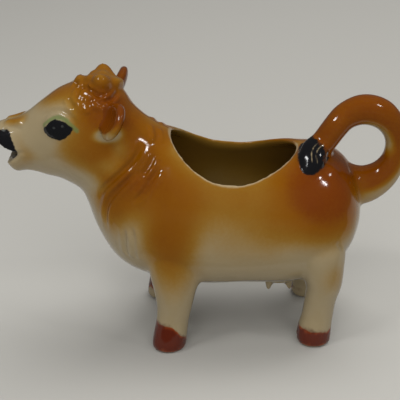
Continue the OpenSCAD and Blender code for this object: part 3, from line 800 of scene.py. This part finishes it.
def sprayOn(points, left):
    spray = (1 - (1 - paint["under"]) * leftBy(paint["puffs"], left)) * leftBy(paint["bare"], left)
    loop = paint["tail"]
    onTail = 1 - soft(nearPath(points, [row[:3] for row in tailRows()])[0], *loop["edge"])
    ray = np.stack([points[:, 0] - loopX, points[:, 2] - loopZ], axis=1)
    fromMiddle = np.linalg.norm(ray, axis=1)
    ray /= fromMiddle[:, None] + mm  # never by nought
    deep = fromMiddle - tail["hole"] / 2
    (upWay, upDepth, upLess), (lowWay, lowDepth, lowLess) = loop["inside"], loop["outside"]
    upper = (1 - soft(deep, *upDepth)) * soft(ray @ np.array(upWay), *loop["spread"])
    lower = soft(deep, *lowDepth) * soft(ray @ np.array(lowWay), *loop["spread"])
    return spray * (1 - onTail) + onTail * loop["spray"] * (1 - upLess * upper) * (1 - lowLess * lower)


def hoofDistance(points, normals):
    hoof = paint["hoof"]
    x, y, z = points.T
    ahead = x - (frontX - legs["hoofLength"] / 2)
    front = hoof["front"] - z - hoof["slope"] * ahead - hoof["drop"] * np.maximum(ahead - hoof["dropFrom"], 0)
    rear = hoof["rear"] - z - hoof["rearSlope"] * (x - rearX)
    edge = np.where(x < (frontX + rearX) / 2, front, rear)
    innerFace = soft(-normals[:, 1] * np.sign(y), *hoof["innerTurn"])
    return np.minimum(edge, z - hoof["worn"]) - hoof["inner"] * innerFace


def paintClay(form, cavity):
    points, normals = pointsOf(form)
    left = onLeft(points)
    storeOn(form, "spray", sprayOn(points, left))
    storeOn(form, "ink", np.maximum(spotDistance(left, paint["eye"]), noseDistance(left)))
    storeOn(form, "lid", paint["lid"]["half"] - nearPath(left, paint["lid"]["path"])[0])
    # painted highlights: small grey spots for the glints of the eye and the nose pad
    apart = [np.linalg.norm(left - np.array(place), axis=1) for place in paint["glints"]["places"]]
    storeOn(form, "glint", paint["glints"]["size"] - np.min(apart, axis=0))
    storeOn(form, "rust", hoofDistance(points, normals))
    line, below = rimEdges(form, points)
    storeOn(form, "rim", line - paint["rim"]["worn"] * soft(points[:, 1], 0, paint["rim"]["wornTo"]))
    # painted shade: a darker brown over the inside of the cavity and down the cut wall below the rim line
    tree = BVHTree.FromObject(cavity, bpy.context.evaluated_depsgraph_get())
    within = np.array([paint["inside"] - tree.find_nearest(Vector(point * mm))[3] / mm for point in points])
    storeOn(form, "within", np.maximum(within, below))
    storeOn(form, "cup", spotDistance(left, paint["disc"]))
    # painted highlights: pale arcs over the black of the tuft
    arcs = [nearPath(points, path)[0] for path in paint["arcs"]["paths"]]
    storeOn(form, "arc", paint["arcs"]["width"] / 2 - np.min(arcs, axis=0))
    away, along = nearPath(points, [tuple(tuftMiddle(share, 0)) for share in paint["tuft"]["shares"]])
    narrower = sum(share * along ** power for share, power in paint["tuft"]["narrowing"])
    storeOn(form, "tuft", tuft["width"] * paint["tuft"]["half"] * (1 - narrower) - away)


# the casting told apart again: body, head and the pieces that were stuck on

parting = {
    "applied": {"head_shell": ("left_ear", "right_ear", "left_horn", "right_horn"),
                "body_shell": ("tail_handle", "tail_tuft", "udder")},
    "slots": {"body_glaze": ("body_shell",), "head_glaze": ("head_shell",), "tail_glaze": ("tail_handle",),
              "tuft_glaze": ("tail_tuft",), "ear_glaze": ("left_ear", "right_ear"),
              "horn_glaze": ("left_horn", "right_horn"), "cream_glaze": ("udder", *legNames)},
    "reach": 4, "passes": 10, "lean": 0.25, "slack": 0.2, "legSlack": 2, "rounds": 20,
}
neckNormal = Vector((math.cos(math.radians(neckLean)), 0, -math.sin(math.radians(neckLean))))
nodeNames = list(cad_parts)


def cutLine(form, place, normal):
    pickOnly(form)
    editAll()
    bpy.ops.mesh.bisect(plane_co=Vector(place) * mm, plane_no=normal)
    bpy.ops.object.mode_set(mode="OBJECT")


def cornersOf(mesh):
    # vertex, edge and face of every face corner
    sizes = valuesOf(mesh.polygons, "loop_total", int)
    return (valuesOf(mesh.loops, "vertex_index", int), valuesOf(mesh.loops, "edge_index", int),
            np.repeat(np.arange(len(sizes)), sizes))


def facePairs(mesh):
    # the two faces on each edge, and the edge's two ends
    _, edges, faces = cornersOf(mesh)
    order = np.argsort(edges, kind="stable")
    edges, faces = edges[order], faces[order]
    twin = edges[1:] == edges[:-1]
    ends = valuesOf(mesh.edges, "vertices", int, 2)
    return faces[:-1][twin], faces[1:][twin], ends[edges[:-1][twin]]


def widenPinches(mesh, label, one, two, ends):
    # where two corners of a piece touch at a single point, the faces round that point join the piece
    points, _, faces = cornersOf(mesh)
    for _ in range(parting["rounds"]):
        found = 0
        for index in range(len(nodeNames)):
            border = (label[one] == index) != (label[two] == index)
            pinched = np.bincount(ends[border].ravel(), minlength=len(mesh.vertices)) > 2
            if pinched.any():
                found += pinched.sum()
                label[faces[pinched[points]]] = index
        if not found:
            break
    print("pinches left:", found)


def largestPatch(marked, one, two):
    # of the marked faces, those in the largest run that hangs together
    label = np.where(marked, np.arange(len(marked)), -1)
    both = marked[one] & marked[two]
    one, two = one[both], two[both]
    while True:
        low = np.minimum(label[one], label[two])
        before = label.copy()
        np.minimum.at(label, one, low)
        np.minimum.at(label, two, low)
        if (before == label).all():
            break
    names, counts = np.unique(label[marked], return_counts=True)
    return label == names[np.argmax(counts)] if len(names) else marked


def nodeTrees():
    trees = {}
    for name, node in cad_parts.items():
        corners = [node.matrix_world @ vertex.co for vertex in node.data.vertices]
        trees[name] = BVHTree.FromPolygons(corners, [tuple(face.vertices) for face in node.data.polygons])
    return trees


def boxOf(name):
    return [np.array(corner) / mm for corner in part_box(name)]


def nearnessTo(name, base, trees, middles, one, two):
    # how much nearer a face is to an applied piece than to what carries it, evened out over its neighbours
    low, high = boxOf(name)
    near = ((middles > low - parting["reach"]) & (middles < high + parting["reach"])).all(axis=1)
    nearness = np.full(len(middles), -float(parting["reach"]))
    for index in np.nonzero(near)[0]:
        place = Vector(middles[index] * mm)
        nearness[index] = (trees[base].find_nearest(place)[3] - trees[name].find_nearest(place)[3]) / mm
    faces = len(middles)
    neighbours = np.bincount(one, minlength=faces) + np.bincount(two, minlength=faces)
    for _ in range(parting["passes"]):
        total = np.bincount(one, nearness[two], faces) + np.bincount(two, nearness[one], faces)
        nearness = (nearness + total / np.maximum(neighbours, 1)) / 2
    return nearness


def joinStrays(label, one, two):
    # what lies apart from the largest patch of a piece goes to its neighbour
    for index in range(len(nodeNames)):
        marked = label == index
        stray = marked & ~largestPatch(marked, one, two)
        while stray.any():
            before = stray.sum()
            for a, b in ((one, two), (two, one)):
                joins = stray[a] & ~stray[b]
                label[a[joins]] = label[b[joins]]
                stray[a[joins]] = False
            if stray.sum() == before:
                break


def separatePieces(form, label):
    mesh = form.data
    mesh.materials.clear()
    for name in nodeNames:
        mesh.materials.append(bpy.data.materials.new(name))
    mesh.polygons.foreach_set("material_index", label)
    pickOnly(form)
    editAll()
    bpy.ops.mesh.separate(type="MATERIAL")
    bpy.ops.object.mode_set(mode="OBJECT")
    pieces = {}
    for piece in list(bpy.context.selected_objects):
        name = piece.data.materials[piece.data.polygons[0].material_index].name
        first, *others = name.split("_")
        piece.name = first + "".join(word.title() for word in others)
        pieces[name] = piece
    return pieces


def partClay(form):
    cutLine(form, (neckX, 0, neckZ), neckNormal)
    cutLine(form, (0, 0, casting["bellyZ"]), (0, 0, 1))
    mesh = form.data
    middles = valuesOf(mesh.polygons, "center", each=3) / mm
    one, two, ends = facePairs(mesh)
    bodyIndex = nodeNames.index("body_shell")
    behind = (middles - np.array((neckX, 0, neckZ))) @ np.array(neckNormal) > 0
    label = np.where(behind, bodyIndex, nodeNames.index("head_shell"))
    best = np.zeros(len(middles))
    trees = nodeTrees()
    for name, base in [(name, base) for base, names in parting["applied"].items() for name in names]:
        nearness = nearnessTo(name, base, trees, middles, one, two)
        marked = largestPatch((nearness > parting["lean"]) & (nearness > best), one, two)
        label[marked] = nodeNames.index(name)
        best = np.where(marked, nearness, best)
    for name in legNames:
        low, high = boxOf(name)
        slack = parting["legSlack"]
        inPlan = ((middles > low - slack) & (middles < high + slack))[:, :2].all(axis=1)
        under = middles[:, 2] < casting["bellyZ"]
        label[largestPatch(inPlan & under & (label == bodyIndex), one, two)] = nodeNames.index(name)
    widenPinches(mesh, label, one, two, ends)
    joinStrays(label, one, two)
    return separatePieces(form, label)


def openEdges(mesh):
    edges = valuesOf(mesh.loops, "edge_index", int)
    return np.nonzero(np.bincount(edges, minlength=len(mesh.edges)) == 1)[0]


def pickOpenEdges():
    bpy.ops.mesh.select_all(action="DESELECT")
    bpy.ops.mesh.select_non_manifold(extend=False, use_wire=False, use_boundary=True, use_multi_face=False,
                                     use_non_contiguous=False, use_verts=False)


def closePiece(piece):
    # the neck joint is a ring between the outer and the inner wall, every other joint is one face
    mesh = piece.data
    pickOnly(piece)
    bpy.ops.object.mode_set(mode="EDIT")
    bpy.ops.mesh.select_mode(type="EDGE")
    pickOpenEdges()
    bpy.ops.mesh.mark_sharp()
    bpy.ops.mesh.select_all(action="DESELECT")
    bpy.ops.object.mode_set(mode="OBJECT")
    joint = []
    for index in openEdges(mesh):
        ends = [mesh.vertices[v].co / mm - Vector((neckX, 0, neckZ)) for v in mesh.edges[index].vertices]
        if all(abs(end.dot(neckNormal)) < parting["slack"] for end in ends):
            joint.append(mesh.edges[index])
    for edge in joint:
        edge.select = True
    bpy.ops.object.mode_set(mode="EDIT")
    if joint:
        bpy.ops.mesh.bridge_edge_loops()
    pickOpenEdges()
    bpy.ops.mesh.fill_holes(sides=0)
    bpy.ops.mesh.poke()
    bpy.ops.mesh.select_all(action="SELECT")
    bpy.ops.mesh.normals_make_consistent(inside=False)
    bpy.ops.object.mode_set(mode="OBJECT")
    return len(openEdges(mesh))


# glaze: airbrushed colours and brushed details, with painted shade inside the cavity and painted highlights
# on the eye, nose and tuft, under one clear coat

glaze = {
    "cream": (0.25, 0.198, 0.113), "tan": (0.21, 0.112, 0.014), "orange": (0.165, 0.056, 0.0004),
    "brown": (0.118, 0.0235, 0.0003), "black": (0.004, 0.004, 0.005), "hoof": (0.25, 0.038, 0.0004),
    "darkHoof": (0.045, 0.002, 0.0002), "cup": (0.11, 0.025, 0.001), "lid": (0.1, 0.14, 0.045),
    # the inside colour is painted shade, a darker brown for the cavity and the cut wall below the rim
    "rim": (0.3, 0.23, 0.13), "inside": (0.14, 0.078, 0.012), "grey": (0.11, 0.12, 0.11),
    # the amounts of spray between which each colour of the airbrush comes in
    "ramps": [("Tan", 0, 0.55), ("Orange", 0.3, 0.78), ("Brown", 0.72, 1.02)],
    # scale and detail of the grain of the spray
    "grain": 0.1, "fineGrain": (900, 3), "cloudyGrain": (90, 2),
    # attribute, colour, softness in mm, wobble in mm, scale of the wobble, opacity
    "layers": [("within", "inside", 0.5, 0.3, 300, 0.75), ("rim", "rim", 0.4, 0.5, 500, 0.9),
               # painted highlights: the arc layer lays pale lines over the black tuft
               ("tuft", "black", 0.3, 1.2, 500, 1), ("arc", "rim", 0.2, 0.3, 500, 0.75),
               ("cup", "cup", 0.6, 1.2, 300, 0.9), ("lid", "lid", 0.45, 0.6, 500, 0.75),
               # painted highlights: the glint layer puts grey glints on the eye and nose
               ("ink", "black", 0.22, 1.2, 600, 1), ("glint", "grey", 0.4, 0.6, 600, 0.9),
               ("rust", "hoof", 0.35, 2.2, 350, 0.95), ("rust", "darkHoof", 1.6, 3.8, 500, 0.85)],
    "layersOf": {"body_glaze": ("within", "rim", "tuft"), "head_glaze": ("within", "lid", "ink", "glint"),
                 "ear_glaze": ("cup",), "tuft_glaze": ("tuft", "arc"), "cream_glaze": ("rust",)},
    "brushDetail": 2, "waveDetail": 1, "waveScale": 110, "waveHeight": 0.0004, "roughness": 0.1, "ior": 1.46,
}
brushColours = ("Cream", "Tan", "Orange", "Brown")


def groupOf(name, inputs, outputs):
    group = bpy.data.node_groups.new(name, "ShaderNodeTree")
    for way, sockets in (("INPUT", inputs), ("OUTPUT", outputs)):
        for label, kind in sockets.items():
            group.interface.new_socket(label, in_out=way, socket_type="NodeSocket" + kind)
    return group, group.nodes.new("NodeGroupInput"), group.nodes.new("NodeGroupOutput")


def nodeIn(tree, kind, feeds=(), **settings):
    # a shader node, whose inputs are fed by other nodes or set to values
    node = tree.nodes.new(kind)
    for key, value in settings.items():
        setattr(node, key, value)
    for label, value in dict(feeds).items():
        if isinstance(value, bpy.types.NodeSocket):
            tree.links.new(value, node.inputs[label])
        else:
            node.inputs[label].default_value = value
    return node


def sumIn(tree, operation, *values):
    return nodeIn(tree, "ShaderNodeMath", enumerate(values), operation=operation).outputs[0]


def mixIn(tree, share, below, above):
    return nodeIn(tree, "ShaderNodeMix", {"Factor": share, "A": below, "B": above},
                  data_type="RGBA").outputs["Result"]


def rampIn(tree, value, low, high):
    return nodeIn(tree, "ShaderNodeMapRange", {"Value": value, "From Min": low, "From Max": high},
                  interpolation_type="SMOOTHSTEP").outputs["Result"]


def noiseIn(tree, scale, detail):
    place = nodeIn(tree, "ShaderNodeTexCoord").outputs["Object"]
    feeds = {"Vector": place, "Scale": scale, "Detail": detail}
    return nodeIn(tree, "ShaderNodeTexNoise", feeds).outputs["Fac"]


def airbrushGroup():
    # colour from the amount of spray, broken up by the grain of the airbrush
    inputs = {**dict.fromkeys(brushColours, "Color"), "Grain": "Float"}
    group, inside, outside = groupOf("airbrush", inputs, {"Color": "Color"})
    amount = nodeIn(group, "ShaderNodeAttribute", attribute_name="spray").outputs["Fac"]
    noise = sumIn(group, "ADD", noiseIn(group, *glaze["fineGrain"]), noiseIn(group, *glaze["cloudyGrain"]))
    grain = sumIn(group, "MULTIPLY", sumIn(group, "SUBTRACT", noise, 1), inside.outputs["Grain"])
    noisy = sumIn(group, "ADD", amount, grain)
    colour = inside.outputs["Cream"]
    for label, low, high in glaze["ramps"]:
        colour = mixIn(group, rampIn(group, noisy, low, high), colour, inside.outputs[label])
    group.links.new(colour, outside.inputs["Color"])
    return group


def brushGroup():
    # a mask for brushed paint from the distance to its edge, with the wobble of the brush
    inputs = dict.fromkeys(("Distance", "Softness", "Wobble", "Scale"), "Float")
    group, inside, outside = groupOf("brushed", inputs, {"Mask": "Float"})
    given = inside.outputs
    wave = sumIn(group, "SUBTRACT", noiseIn(group, given["Scale"], glaze["brushDetail"]), 0.5)
    moved = sumIn(group, "MULTIPLY_ADD", wave, given["Wobble"], given["Distance"])
    mask = rampIn(group, moved, sumIn(group, "MULTIPLY", given["Softness"], -1), given["Softness"])
    group.links.new(mask, outside.inputs["Mask"])
    return group


def unevenGroup():
    # the slow waves in a thick glaze
    inputs = {"Scale": "Float", "Height": "Float"}
    group, inside, outside = groupOf("unevenGlaze", inputs, {"Normal": "Vector"})
    given = inside.outputs
    wave = noiseIn(group, given["Scale"], glaze["waveDetail"])
    bump = nodeIn(group, "ShaderNodeBump", {"Strength": 1, "Distance": given["Height"], "Height": wave})
    group.links.new(bump.outputs["Normal"], outside.inputs["Normal"])
    return group


def makeGlaze(slot):
    material = bpy.data.materials.new(slot.replace("_g", "G"))
    material.use_nodes = True
    tree = material.node_tree
    sprayed = {label: (*glaze[label.lower()], 1) for label in brushColours}
    base = nodeIn(tree, "ShaderNodeGroup", {**sprayed, "Grain": glaze["grain"]}, node_tree=groups["airbrush"])
    colour = base.outputs["Color"]
    for attribute, paintName, softness, wobble, scale, opacity in glaze["layers"]:
        if attribute in glaze["layersOf"].get(slot, ()):
            edge = nodeIn(tree, "ShaderNodeAttribute", attribute_name=attribute).outputs["Fac"]
            stroke = {"Distance": edge, "Softness": softness, "Wobble": wobble, "Scale": scale}
            mask = nodeIn(tree, "ShaderNodeGroup", stroke, node_tree=groups["brushed"]).outputs["Mask"]
            colour = mixIn(tree, sumIn(tree, "MULTIPLY", mask, opacity), colour, (*glaze[paintName], 1))
    wave = {"Scale": glaze["waveScale"], "Height": glaze["waveHeight"]}
    uneven = nodeIn(tree, "ShaderNodeGroup", wave, node_tree=groups["uneven"])
    shader = tree.nodes["Principled BSDF"]
    tree.links.new(colour, shader.inputs["Base Color"])
    tree.links.new(uneven.outputs["Normal"], shader.inputs["Normal"])
    shader.inputs["Roughness"].default_value = glaze["roughness"]
    shader.inputs["IOR"].default_value = glaze["ior"]
    return material


def finishPiece(name, piece):
    slot = next(slot for slot, names in parting["slots"].items() if name in names)
    if slot not in materials:
        materials[slot] = makeGlaze(slot)
    piece.data.materials.clear()
    piece.data.materials.append(materials[slot])
    pickOnly(piece)
    bpy.ops.object.shade_smooth()
    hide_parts(name)
    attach(piece, "root")


body, cavity = makeClay()
smoothRim(body)
toolClay(body)
print("clay tooled:", len(body.data.polygons), "faces")
paintClay(body, cavity)
deleteForms(cavity)
print("clay painted")
pieces = partClay(body)
print("casting parted:", sorted(pieces))
groups = {"airbrush": airbrushGroup(), "brushed": brushGroup(), "uneven": unevenGroup()}
materials = {}
for name, piece in pieces.items():
    print(name, len(piece.data.polygons), "faces, open edges left:", closePiece(piece))
    finishPiece(name, piece)


# floor, lights and camera

studio = {
    "azimuth": 2, "elevation": 26, "roll": 2.5, "distance": 400, "aim": (-0.93, 0, 51),
    "pixelsPerRadian": 1080, "frame": 400, "sensor": 36, "nearest": 10,
    "floor": 8000, "line": -40, "paper": (0.41, 0.4, 0.37), "paperRoughness": 0.9,
    "world": 0.12, "air": (1, 0.99, 0.97),
    # place, size and power of the lamps, and whether the glaze mirrors them: wide ones, whose light
    # comes through a diffuser, and small ones for the glints
    "lamps": [((120, -800, 800), (1000, 700), 6.2, False), ((300, 350, 1200), (1000, 900), 13.3, False),
              ((-150, -1500, 260), (2200, 500), 9, False),
              ((-250, -200, 520), (150, 70), 0.75, True), ((330, -200, 500), (30, 70), 0.25, True)],
    "lampAim": (0, 0, 50),
}


def layPaper(name, way, paper):
    # half of the floor, before or behind the line across it
    bpy.ops.mesh.primitive_plane_add(size=studio["floor"] * mm,
                                     location=(0, (studio["line"] + way * studio["floor"] / 2) * mm, 0))
    floor = bpy.context.object
    floor.name = name
    floor.data.materials.append(paper)
    return floor


def makeFloor():
    paper = bpy.data.materials.new("paper")
    paper.use_nodes = True
    surface = paper.node_tree.nodes["Principled BSDF"].inputs
    surface["Base Color"].default_value = (*studio["paper"], 1)
    surface["Roughness"].default_value = studio["paperRoughness"]
    layPaper("floor", 1, paper)
    layPaper("frontFloor", -1, paper).visible_glossy = False  # the glaze shows a dark room there


def makeCamera():
    a, e, r = (math.radians(studio[key]) for key in ("azimuth", "elevation", "roll"))
    back = Vector((math.sin(a) * math.cos(e), -math.cos(a) * math.cos(e), math.sin(e)))
    right = Vector((math.cos(a), math.sin(a), 0))
    up = back.cross(right)
    rolled = (right * math.cos(r) - up * math.sin(r), up * math.cos(r) + right * math.sin(r), back)
    bpy.ops.object.camera_add(location=(Vector(studio["aim"]) + back * studio["distance"]) * mm,
                              rotation=Matrix(rolled).transposed().to_euler())
    camera = bpy.context.object
    camera.data.sensor_width = studio["sensor"]
    camera.data.lens = studio["sensor"] * studio["pixelsPerRadian"] / studio["frame"]
    camera.data.clip_start = studio["nearest"] * mm
    bpy.context.scene.camera = camera


def makeLight():
    world = bpy.data.worlds.new("studio")
    world.use_nodes = True
    world.node_tree.nodes["Background"].inputs["Color"].default_value = (*studio["air"], 1)
    world.node_tree.nodes["Background"].inputs["Strength"].default_value = studio["world"]
    bpy.context.scene.world = world
    for place, size, energy, mirrored in studio["lamps"]:
        bpy.ops.object.light_add(type="AREA", location=Vector(place) * mm)
        lamp = bpy.context.object
        aim = Vector(studio["lampAim"]) * mm - lamp.location
        lamp.rotation_euler = aim.to_track_quat("-Z", "Y").to_euler()
        lamp.data.shape = "RECTANGLE"
        lamp.data.size, lamp.data.size_y = size[0] * mm, size[1] * mm
        lamp.data.energy = energy
        lamp.visible_glossy = mirrored
    bpy.context.scene.view_settings.view_transform = "Standard"


makeFloor()
makeCamera()
makeLight()
print("studio set")
